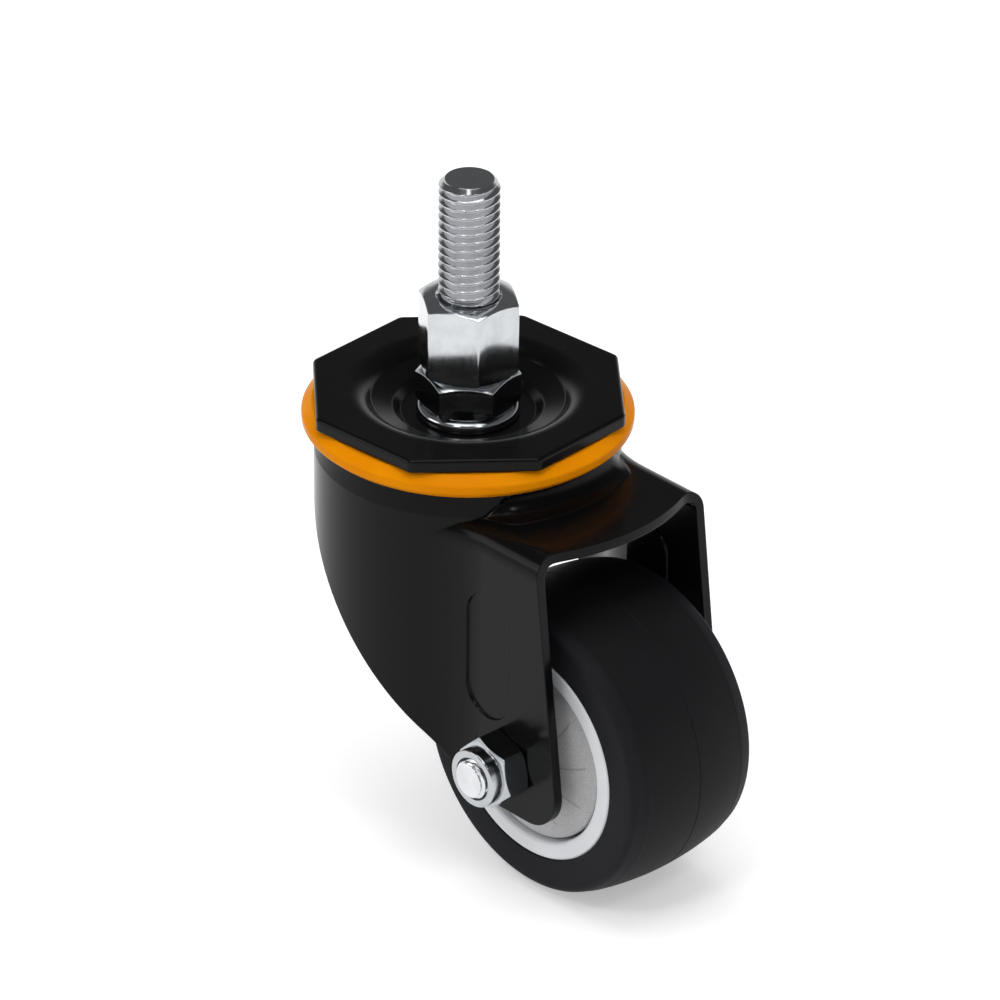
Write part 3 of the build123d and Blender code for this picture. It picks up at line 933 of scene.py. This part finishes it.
@dataclass(frozen=True)
class SwivelHead:
    """The top plate, fork, ball races and the amber dust ring between plate and fork."""

    ring_bore: float = 27.05
    ring_dome: float = 29.0
    ring_lip: float = 31.0
    ring_radius: float = 32.6
    ring_shoulder: float = 30.6
    crest: float = -26.6
    skirt: float = -28.0
    ring_top: float = -23.3
    shoulder_height: float = -24.9
    floor: float = -25.1
    head_foot: float = 30.15
    head_lean: float = -0.24
    roof: float = -33.05
    foot_reach: float = 4.4
    foot_turn: float = 40.0
    foot_fade: float = 15.0
    foot_sink: float = 0.02
    foot_depth: float = 0.4

    def head_fillet(self, line: Spindle, finish: bpy.types.Material) -> bpy.types.Object:
        """The drawn curve between the fork's head and its roof, which fades out at both ends.

        At share s of the section, the point is the corner + (1 - s) squared times a reach up
        the wall + s squared times the same reach out along the roof, so that it meets both
        smoothly. The reach is the full one over the middle, and falls to nothing at the ends. A
        last row under the surface closes the piece.

        Args:
            line: the swivel axis.
            finish: its material.

        Returns:
            The piece.
        """
        degrees = np.linspace(-self.foot_turn, self.foot_turn, 121)[None, :]
        spare = np.clip((self.foot_turn - np.abs(degrees)) / self.foot_fade, 0, 1)
        swell = spare**2 * (3 - 2 * spare)
        share = np.linspace(0, 1, 17)[:, None]
        up = (1 - share) ** 2 * self.foot_reach * swell
        out = share**2 * self.foot_reach * swell
        sink, depth = self.foot_sink * swell, self.foot_depth * swell
        radius = self.head_foot + np.concatenate([up * self.head_lean + out - sink, -depth])
        height = self.roof + np.concatenate([up - sink, -depth])
        turn = np.radians(degrees)
        points = line.points(radius * np.cos(turn), radius * np.sin(turn), height)
        return piece("fork_head_fillet", [Patch(points, True, False)], finish)

    def dust_ring(self, line: Spindle, finish: bpy.types.Material) -> bpy.types.Object:
        """The ring, turned from a section with a floor, a skirt and a rounded bead.

        Args:
            line: the swivel axis.
            finish: its material.

        Returns:
            The piece.
        """
        corners = [
            (self.ring_bore, self.crest),
            (self.ring_dome, self.crest),
            (self.ring_dome, self.skirt),
            (self.ring_lip, self.skirt),
            (self.ring_radius, self.crest),
            (self.ring_radius, self.shoulder_height),
            (self.ring_shoulder, self.ring_top),
            (self.ring_dome, self.ring_top),
            (self.ring_dome, self.floor),
            (self.ring_bore, self.floor),
        ]
        radii = [0.2, 0.1, 0.2, 0.35, 0.7, 0.7, 0.35, 0.2, 0.15, 0.25]
        return piece("amber_dust_ring", [turned(line, rounded(corners, radii), 180)], finish)

    def build(self, line: Spindle, nodes: dict[str, bpy.types.Object]) -> None:
        """Build the dust ring and dress the pressed and turned CAD pieces.

        Args:
            line: the swivel axis.
            nodes: the CAD nodes by name.
        """
        bright, deep = (0.79, 0.262, 0.001), (0.74, 0.232, 0.001)
        amber = MouldedPlastic("gloss_amber_plastic", bright, deep, 0.16, 0.02, 1.6, 0.001)
        settle(self.dust_ring(line, amber.make()), "swivel", "amber_plastic", "dust_ring")
        enamel = Enamel().make()
        dress(nodes, enamel, "fork", "top_plate")
        settle(self.head_fillet(line, enamel), "swivel", "black_enamel")
        dress(nodes, TurnedSteel().make(), "lower_race")
        balls = Zinc("polished_ball_steel", (0.66, 0.66, 0.67), 0.10, (1.0, 1.0, 1.0), 0.0008, 0.0)
        dress(nodes, balls.make(), "upper_balls", "lower_balls")


@dataclass(frozen=True)
class Wheel:
    """The tyre and core of the wheel, with its two ball bearings and the spacer between them."""

    width: float = 32.0
    radius: float = 31.45
    tread_edge_radius: float = 30.3
    tread_edge_reach: float = 12.4
    wall_radius: float = 29.2
    shoulder_radius: float = 1.6
    rim_radius: float = 22.55
    key_radius: float = 25.05
    key_edge: float = 4.55
    key_draft: float = 1.0
    key_edge_radius: float = 0.2
    seam_height: float = -0.14
    seam_width: float = 0.50
    seam_zone: float = 0.8
    tread_zone: float = 1.0
    bead: float = 0.35

    def tyre_profile(self) -> np.ndarray:
        """The tyre's section: a crowned tread with a mould seam, sloping walls and the keyed bore.

        The tread's radius falls from the crown with the square of the place, and the seam adds
        its height times the square of a cosine over its width.

        Returns:
            Rows of radius and place.
        """
        half = self.width / 2
        reach = self.tread_edge_reach
        side = np.linspace(reach, self.tread_zone, 12)
        middle = np.linspace(self.seam_zone, -self.seam_zone, 33)
        place = np.concatenate([side, middle, -side[::-1]])
        fall = (self.radius - self.tread_edge_radius) * (place / reach) ** 2
        inside = np.abs(place) < self.seam_width / 2
        seam = self.seam_height * np.cos(math.pi * place / self.seam_width) ** 2 * inside
        tread = np.stack([self.radius - fall + seam, place], axis=1)
        corners = [
            (self.tread_edge_radius, -reach),
            (self.wall_radius, -half),
            (self.rim_radius, -half),
            (self.rim_radius, -self.key_edge),
            (self.key_radius, -self.key_edge + self.key_draft),
            (self.key_radius, self.key_edge - self.key_draft),
            (self.rim_radius, self.key_edge),
            (self.rim_radius, half),
            (self.wall_radius, half),
            (self.tread_edge_radius, reach),
        ]
        shoulders, key = [self.shoulder_radius] * 2, [self.key_edge_radius] * 4
        walls = rounded(corners, shoulders + [self.bead] + key + [self.bead] + shoulders, 9)
        return np.concatenate([tread[1:-1], walls])

    def build(self, axle: Spindle, nodes: dict[str, bpy.types.Object]) -> None:
        """Build the tyre and dress the core and the bearings.

        Args:
            axle: the wheel's axis.
            nodes: the CAD nodes by name.
        """
        tyre = piece("rubber_tyre", [turned(axle, self.tyre_profile(), 216)], Rubber().make())
        settle(tyre, "wheel", "black_rubber", "tyre")
        bright, deep = (0.80, 0.82, 0.84), (0.76, 0.78, 0.805)
        white = MouldedPlastic("white_core_plastic", bright, deep, 0.36, 0.35, 0.6, edge=0.25)
        dress(nodes, white.make(), "wheel_core")
        ring = Zinc("bearing_ring_steel", (0.50, 0.50, 0.51), 0.16, (0.2, 1.0, 0.2), 0.001, 0.12)
        balls = Zinc("bearing_ball_steel", (0.66, 0.66, 0.67), 0.08, (1.0, 1.0, 1.0), 0.0004, 0.0)
        cage = Zinc("pressed_cage_steel", (0.40, 0.39, 0.37), 0.30, (1.0, 0.3, 1.0), 0.003, 0.08)
        rings, spheres, cages = ring.make(), balls.make(), cage.make()
        for side in ("nut_side", "head_side"):
            dress(nodes, rings, f"{side}_inner_ring", f"{side}_outer_ring")
            dress(nodes, spheres, f"{side}_bearing_balls")
            dress(nodes, cages, f"{side}_ball_cage", f"{side}_bearing_shields")
        dress(nodes, rings, "bearing_spacer")


@dataclass(frozen=True)
class AxleSet:
    """The axle bolt, its lock nut with a nylon ring, and the thread guards on each side."""

    axle: float = 8.0
    pitch: float = 1.25
    wrench_width: float = 13.0
    leg: float = 22.2
    leg_inner: float = 20.2
    head_height: float = 5.3
    head_corner: float = 10.0
    nut_corner: float = 16.0
    nut_hex_end: float = -28.3
    nut_end: float = -31.0
    collar: float = 5.95
    collar_edge: float = 0.35
    lip: float = 4.45
    bore: float = 4.05
    bolt_end: float = -31.9
    tip_chamfer: float = 0.45
    thread_start: float = -29.9
    ring_start: float = -28.55
    ring_end: float = -30.55
    ring_seat: float = 5.1
    ring_play: float = 0.05
    dish_edge: float = 4.6
    dish_radius: float = 4.2
    dish_drop: float = 0.25
    dish_depth: float = 0.3
    guard_bore: float = 4.1
    guard_collar: float = 5.9
    guard_inside: float = 6.5
    guard_boss: float = 7.2
    guard_boss_end: float = 6.6
    guard_boss_foot: float = 16.4
    guard_rim_inside: float = 16.8
    guard_rim: float = 18.3
    guard_rim_base: float = 13.2
    guard_rim_step: float = 13.4
    guard_face: float = 14.9
    bearing_face: float = 12.5

    def bolt(self, axle: Spindle, finish: bpy.types.Material) -> bpy.types.Object:
        """The bolt: a hexagon head with a shallow dished face, a shank and a threaded end.

        Args:
            axle: the wheel's axis.
            finish: its material.

        Returns:
            The piece.
        """
        end = self.leg + self.head_height
        head = Hexagon(self.wrench_width, self.head_corner, self.leg, end)
        dish = [
            (self.dish_edge, end),
            (self.dish_radius, end - self.dish_drop),
            (0.0, end - self.dish_depth),
        ]
        shank = self.axle / 2
        thread = Thread(
            self.axle, self.pitch, self.thread_start, self.bolt_end, shank, self.tip_chamfer
        )
        blank = np.array([(0.0, self.leg), (shank, self.leg), (shank, self.thread_start)])
        patches = [
            head.rows(axle, [(0.0, self.leg)], dish, chamfered_base=False, ring=False),
            turned(axle, blank, thread.columns, False),
            thread.surface(axle),
            thread.tip(axle),
        ]
        return piece("axle_bolt_with_thread", patches, finish)

    def nut(self, axle: Spindle, finish: bpy.types.Material) -> bpy.types.Object:
        """The lock nut: a hexagon, a round collar and a lip that holds the nylon ring.

        Args:
            axle: the wheel's axis.
            finish: its material.

        Returns:
            The piece.
        """
        steps = np.linspace(0, math.pi / 2, 7)
        collar_radius = self.collar - self.collar_edge * (1 - np.cos(steps))
        collar_place = self.nut_end + self.collar_edge * (1 - np.sin(steps))
        collar = list(zip(collar_radius.tolist(), collar_place.tolist()))
        inside = [
            (self.lip, self.nut_end),
            (self.lip, self.ring_end),
            (self.ring_seat, self.ring_end),
            (self.ring_seat, self.ring_start),
            (self.bore, self.ring_start),
        ]
        hexagon = Hexagon(self.wrench_width, self.nut_corner, -self.leg, self.nut_hex_end)
        beyond = [(self.collar, self.nut_hex_end)] + collar + inside
        outside = hexagon.rows(axle, [(self.bore, -self.leg)], beyond)
        return piece("axle_lock_nut", [outside], finish)

    def nylon_ring(self, axle: Spindle, finish: bpy.types.Material) -> bpy.types.Object:
        """The ring in the nut's collar, rounded at its mouth.

        Args:
            axle: the wheel's axis.
            finish: its material.

        Returns:
            The piece.
        """
        seat = self.ring_seat - self.ring_play
        corners = [
            (self.bore, self.ring_start),
            (self.bore, self.ring_end),
            (seat, self.ring_end),
            (seat, self.ring_start),
        ]
        profile = rounded(corners, [0.1, 0.3, 0.15, 0.1])
        return piece("nylon_locking_ring", [turned(axle, profile)], finish)

    def guard(
        self, side: str, facing: int, axle: Spindle, finish: bpy.types.Material
    ) -> bpy.types.Object:
        """One thread guard: a shallow cone with a rolled rim, turned about the axle.

        Args:
            side: the side's name.
            facing: 1 for the side that faces +Y, -1 for the other.
            axle: the wheel's axis.
            finish: its material.

        Returns:
            The piece.
        """
        corners = [
            (self.guard_bore, self.bearing_face),
            (self.guard_collar, self.bearing_face),
            (self.guard_inside, self.guard_face),
            (self.guard_rim_inside, self.guard_rim_step),
            (self.guard_rim_inside, self.guard_rim_base),
            (self.guard_rim, self.guard_rim_base),
            (self.guard_rim, self.guard_face),
            (self.guard_boss, self.guard_boss_foot),
            (self.guard_boss_end, self.leg_inner),
            (self.guard_bore, self.leg_inner),
        ]
        radii = [0.1, 0.2, 0.4, 0.05, 0.05, 0.15, 0.5, 0.6, 0.25, 0.1]
        profile = rounded(corners, radii, 7) * np.array([1, facing])
        return piece(f"{side}_guard", [turned(axle, profile)], finish)

    def build(self, axle: Spindle) -> None:
        """Build the set and let it stand for its CAD nodes.

        Args:
            axle: the wheel's axis.
        """
        bolt = Zinc("bright_zinc_bolt", (0.68, 0.69, 0.71), 0.16, (1.0, 0.08, 1.0))
        nut = Zinc("zinc_axle_nut", (0.46, 0.48, 0.50), 0.12, (1.0, 0.10, 1.0))
        nylon = MouldedPlastic("nylon_ring", (0.10, 0.10, 0.11), (0.07, 0.07, 0.08), 0.4, 0.3)
        grey = GuardPlastic().make(axle)
        settle(self.bolt(axle, bolt.make()), "swivel", "zinc", "axle_bolt")
        settle(self.nut(axle, nut.make()), "swivel", "zinc", "axle_nut")
        settle(self.nylon_ring(axle, nylon.make()), "swivel", "nylon", "nylon_ring")
        for side, facing in (("nut_side", -1), ("head_side", 1)):
            guard = self.guard(side, facing, axle, grey)
            settle(guard, "swivel", "grey_plastic", f"{side}_thread_guard")


# Studio


class Seen(Enum):
    """The kinds of ray that see the white background."""

    CAMERA = "Is Camera Ray"
    MIRRORED = "Is Glossy Ray"
    THROUGH = "Is Transmission Ray"


def sighted(nodes: Nodes, *kinds: Seen) -> Value:
    """The value 1 on rays of these kinds and 0 on others.

    Args:
        nodes: the tree that it is worked out in.
        kinds: the kinds of ray.

    Returns:
        The value.
    """
    path = nodes.node("ShaderNodeLightPath")
    return reduce(Value.larger, (path.part(kind.value) for kind in kinds))


@dataclass(frozen=True)
class Lamp:
    """A square soft lamp that faces the caster."""

    name: str
    place: Triple
    side: float
    power: float

    def hang(self, aim: Vector) -> None:
        """Hang the lamp and turn it to its aim.

        Args:
            aim: the point that it faces.
        """
        data = bpy.data.lights.new(self.name, "AREA")
        data.shape = "SQUARE"
        data.size = self.side
        data.energy = self.power
        lamp = bpy.data.objects.new(self.name, data)
        lamp.location = self.place
        lamp.rotation_euler = (aim - Vector(self.place)).to_track_quat("-Z", "Y").to_euler()
        bpy.context.scene.collection.objects.link(lamp)


@dataclass(frozen=True)
class Studio:
    """The pale floor, soft light and camera of the photograph."""

    floor_height: float = -0.11285
    floor_reach: float = 6.0
    floor_colour: float = 0.92
    floor_lift: float = 0.36
    sky: float = 0.54
    ceiling: float = 0.12
    ceiling_start: float = 0.16
    ceiling_full: float = 0.42
    azimuth: float = 46.8686
    elevation: float = 29.1533
    roll: float = 0.5413
    distance: float = 1.401168
    shift_right: float = -0.0060354
    shift_up: float = 0.0399663
    focal_pixels: float = 7237.44
    picture_pixels: float = 1000.0
    lamp_aim: Triple = (0.0, 0.0, -0.05)
    lamps: tuple[Lamp, ...] = (
        Lamp("overhead_softbox", (0.00, -0.05, 1.30), 1.0, 6.5),
        Lamp("left_softbox", (-0.75, -1.05, 0.55), 0.6, 2.4),
        Lamp("front_light", (0.25, -0.80, 0.95), 0.20, 1.8),
        Lamp("right_light", (0.81, -0.18, 0.95), 0.22, 1.3),
    )

    def world(self) -> None:
        """A white surround, whose mirrored part darkens from the horizon to the ceiling.

        The height is the sine of a ray's angle above the horizon. Rays that only bring light
        see an even sky.
        """
        world = bpy.data.worlds.new("white_studio")
        world.use_nodes = True
        nodes = Nodes(world.node_tree)
        background = next(node for node in nodes.tree.nodes if node.type == "BACKGROUND")
        facing = nodes.node("ShaderNodeTexCoord").part("Generated")
        height = nodes.node("ShaderNodeSeparateXYZ", None, {0: facing}).part("Z")
        ceiling = height.rise(self.ceiling_start, self.ceiling_full)
        surround = 1.0 - ceiling * (1.0 - self.ceiling)
        open_view = sighted(nodes, Seen.CAMERA, Seen.THROUGH)
        mirrored = sighted(nodes, Seen.MIRRORED) * (surround - self.sky)
        nodes.put(background.inputs["Color"], tone((1.0, 1.0, 1.0)))
        nodes.put(background.inputs["Strength"], open_view * (1.0 - self.sky) + mirrored + self.sky)
        bpy.context.scene.world = world

    def floor(self) -> None:
        """A large pale sheet that keeps the caster's shadow and clips to white away from it."""
        reach = self.floor_reach
        share = np.linspace(-reach, reach, 9)
        across, along = np.meshgrid(share, share)
        points = np.stack([across, along, np.full_like(across, self.floor_height)], axis=-1)
        mesh = bpy.data.meshes.new("studio_floor")
        quads = Patch(points, False, False).quads()
        mesh.from_pydata(points.reshape(-1, 3).tolist(), [], quads.tolist())
        made = bpy.data.objects.new("studio_floor", mesh)
        bpy.context.scene.collection.objects.link(made)
        sheet = Sheet("pale_floor")
        pale = tone((self.floor_colour,) * 3)
        sheet.dress(Base_Color=pale, Roughness=0.9, Specular_IOR_Level=0.0)
        strength = sighted(sheet, *Seen) * self.floor_lift
        lift = sheet.node("ShaderNodeEmission", None, {"Strength": strength})
        shader = Value(sheet, sheet.shader.outputs[0])
        both = sheet.node("ShaderNodeAddShader", None, {0: shader, 1: lift})
        sheet.put(sheet.output.inputs["Surface"], both)
        mesh.materials.append(sheet.material)

    def camera(self) -> None:
        """The camera, at the angles that the photograph was solved to."""
        azimuth, elevation = math.radians(self.azimuth), math.radians(self.elevation)
        aside, ahead = math.sin(azimuth), -math.cos(azimuth)
        flat = math.cos(elevation)
        back = Vector((aside * flat, ahead * flat, math.sin(elevation)))
        level = Vector((-ahead, aside, 0))
        turn = Matrix.Rotation(math.radians(self.roll), 3, back)
        right = turn @ level
        up = back.cross(right)
        place = back * self.distance - right * self.shift_right - up * self.shift_up
        data = bpy.data.cameras.new("photo_camera")
        data.sensor_width = 36.0
        data.lens = self.focal_pixels / self.picture_pixels * data.sensor_width
        data.clip_start = 0.05
        camera = bpy.data.objects.new("photo_camera", data)
        axes = Matrix((right, up, back)).transposed().to_4x4()
        camera.matrix_world = Matrix.Translation(place) @ axes
        bpy.context.scene.collection.objects.link(camera)
        bpy.context.scene.camera = camera

    def build(self) -> None:
        """Set the stage."""
        self.world()
        self.floor()
        self.camera()
        for lamp in self.lamps:
            lamp.hang(Vector(self.lamp_aim))
        bpy.context.scene.view_settings.view_transform = "Standard"


def main() -> None:
    """Load the frame, build and dress each sub-assembly, and set up the studio."""
    logging.basicConfig(level=logging.INFO, format="%(name)s %(message)s")
    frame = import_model()
    joints = {joint["name"]: joint for joint in frame["joints"]}
    swivel, axle = (
        Spindle(tuple(number / MM for number in joint["pos_m"]), tuple(joint["axis"]))
        for joint in (joints["swivel_turn"], joints["wheel_spin"])
    )
    StemSet().build(swivel)
    SwivelHead().build(swivel, frame["nodes"])
    Wheel().build(axle, frame["nodes"])
    AxleSet().build(axle)
    Studio().build()


if __name__ == "__main__":
    main()
